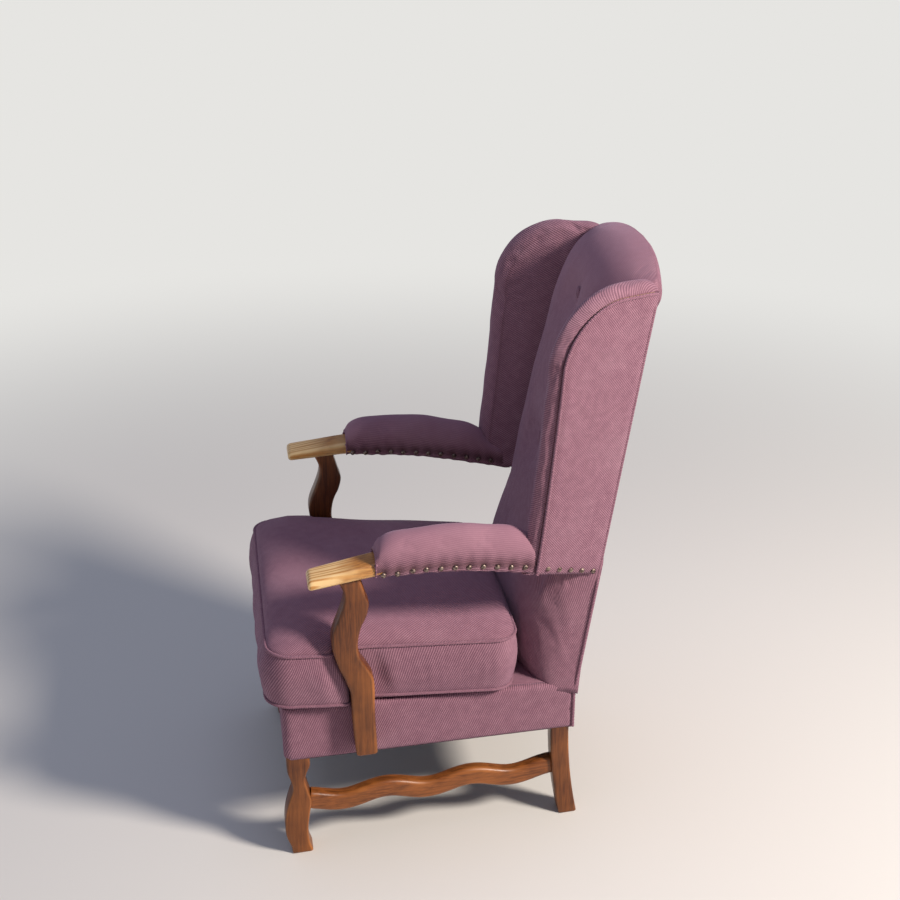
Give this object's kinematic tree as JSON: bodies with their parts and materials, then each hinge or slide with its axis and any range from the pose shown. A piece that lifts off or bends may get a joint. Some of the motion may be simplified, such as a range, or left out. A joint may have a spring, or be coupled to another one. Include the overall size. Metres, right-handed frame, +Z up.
{
  "type": "fireside chair",
  "caption": "High-back fireside chair with upholstered wings, padded show-wood arms, waved legs, arm supports and stretchers, and a loose boxed seat cushion.",
  "frame": {"origin": "on the floor, under the middle of the chair's box", "axes": "+Z up, -Y the way the sitter faces, +X the sitter's left"},
  "size_m": [0.6186, 0.7412, 1.107],
  "materials": {
    "show_wood": "orange-brown varnish, satin, worn at the edges",
    "handle_wood": "honey-coloured varnish, bleached on top",
    "frame_wood": "plain sawn beech",
    "fabric": "dusty mauve twill upholstery cloth",
    "lining": "dark woven lining",
    "webbing": "jute webbing",
    "steel": "zinc-plated steel",
    "nails": "antique brass dome nails, dark and worn"
  },
  "bodies": {
    "frame": {"front_leg_left": "show_wood", "front_leg_right": "show_wood", "rear_post_left": "show_wood", "rear_post_right": "show_wood", "side_stretcher_left": "show_wood", "side_stretcher_right": "show_wood", "arm_support_left": "show_wood", "arm_support_right": "show_wood", "arm_board_left": "handle_wood", "arm_board_right": "handle_wood", "arm_dowel_left": "frame_wood", "arm_dowel_right": "frame_wood", "side_rail_left": "frame_wood", "side_rail_right": "frame_wood", "support_bolt_lower_left": "steel", "support_bolt_lower_right": "steel", "support_bolt_upper_left": "steel", "support_bolt_upper_right": "steel", "front_corner_block_left": "frame_wood", "front_corner_block_right": "frame_wood", "rear_corner_block_left": "frame_wood", "rear_corner_block_right": "frame_wood", "wing_board_left": "frame_wood", "wing_board_right": "frame_wood", "wing_pad_left": "fabric", "wing_pad_right": "fabric", "wing_outer_left": "fabric", "wing_outer_right": "fabric", "arm_pad_left": "fabric", "arm_pad_right": "fabric", "front_rail": "frame_wood", "rear_rail": "frame_wood", "lower_back_rail": "frame_wood", "crest_rail": "frame_wood", "seat_strap_1": "webbing", "seat_strap_2": "webbing", "seat_strap_3": "webbing", "seat_strap_4": "webbing", "seat_strap_5": "webbing", "seat_deck": "fabric", "rail_cover": "fabric", "bottom_cloth": "lining", "back_strap_1": "webbing", "back_strap_2": "webbing", "back_strap_3": "webbing", "back_strap_4": "webbing", "back_pad": "fabric", "outside_back": "fabric", "back_button_upper": "fabric", "back_button_lower": "fabric"},
    "cushion": {"seat_cushion": "fabric"}
  },
  "joints": [
    {"name": "cushion_slide", "type": "slide", "parent": "frame", "child": "cushion", "axis": [0, -0.999, 0.045], "range_m": [0, 0.5]}
  ]
}
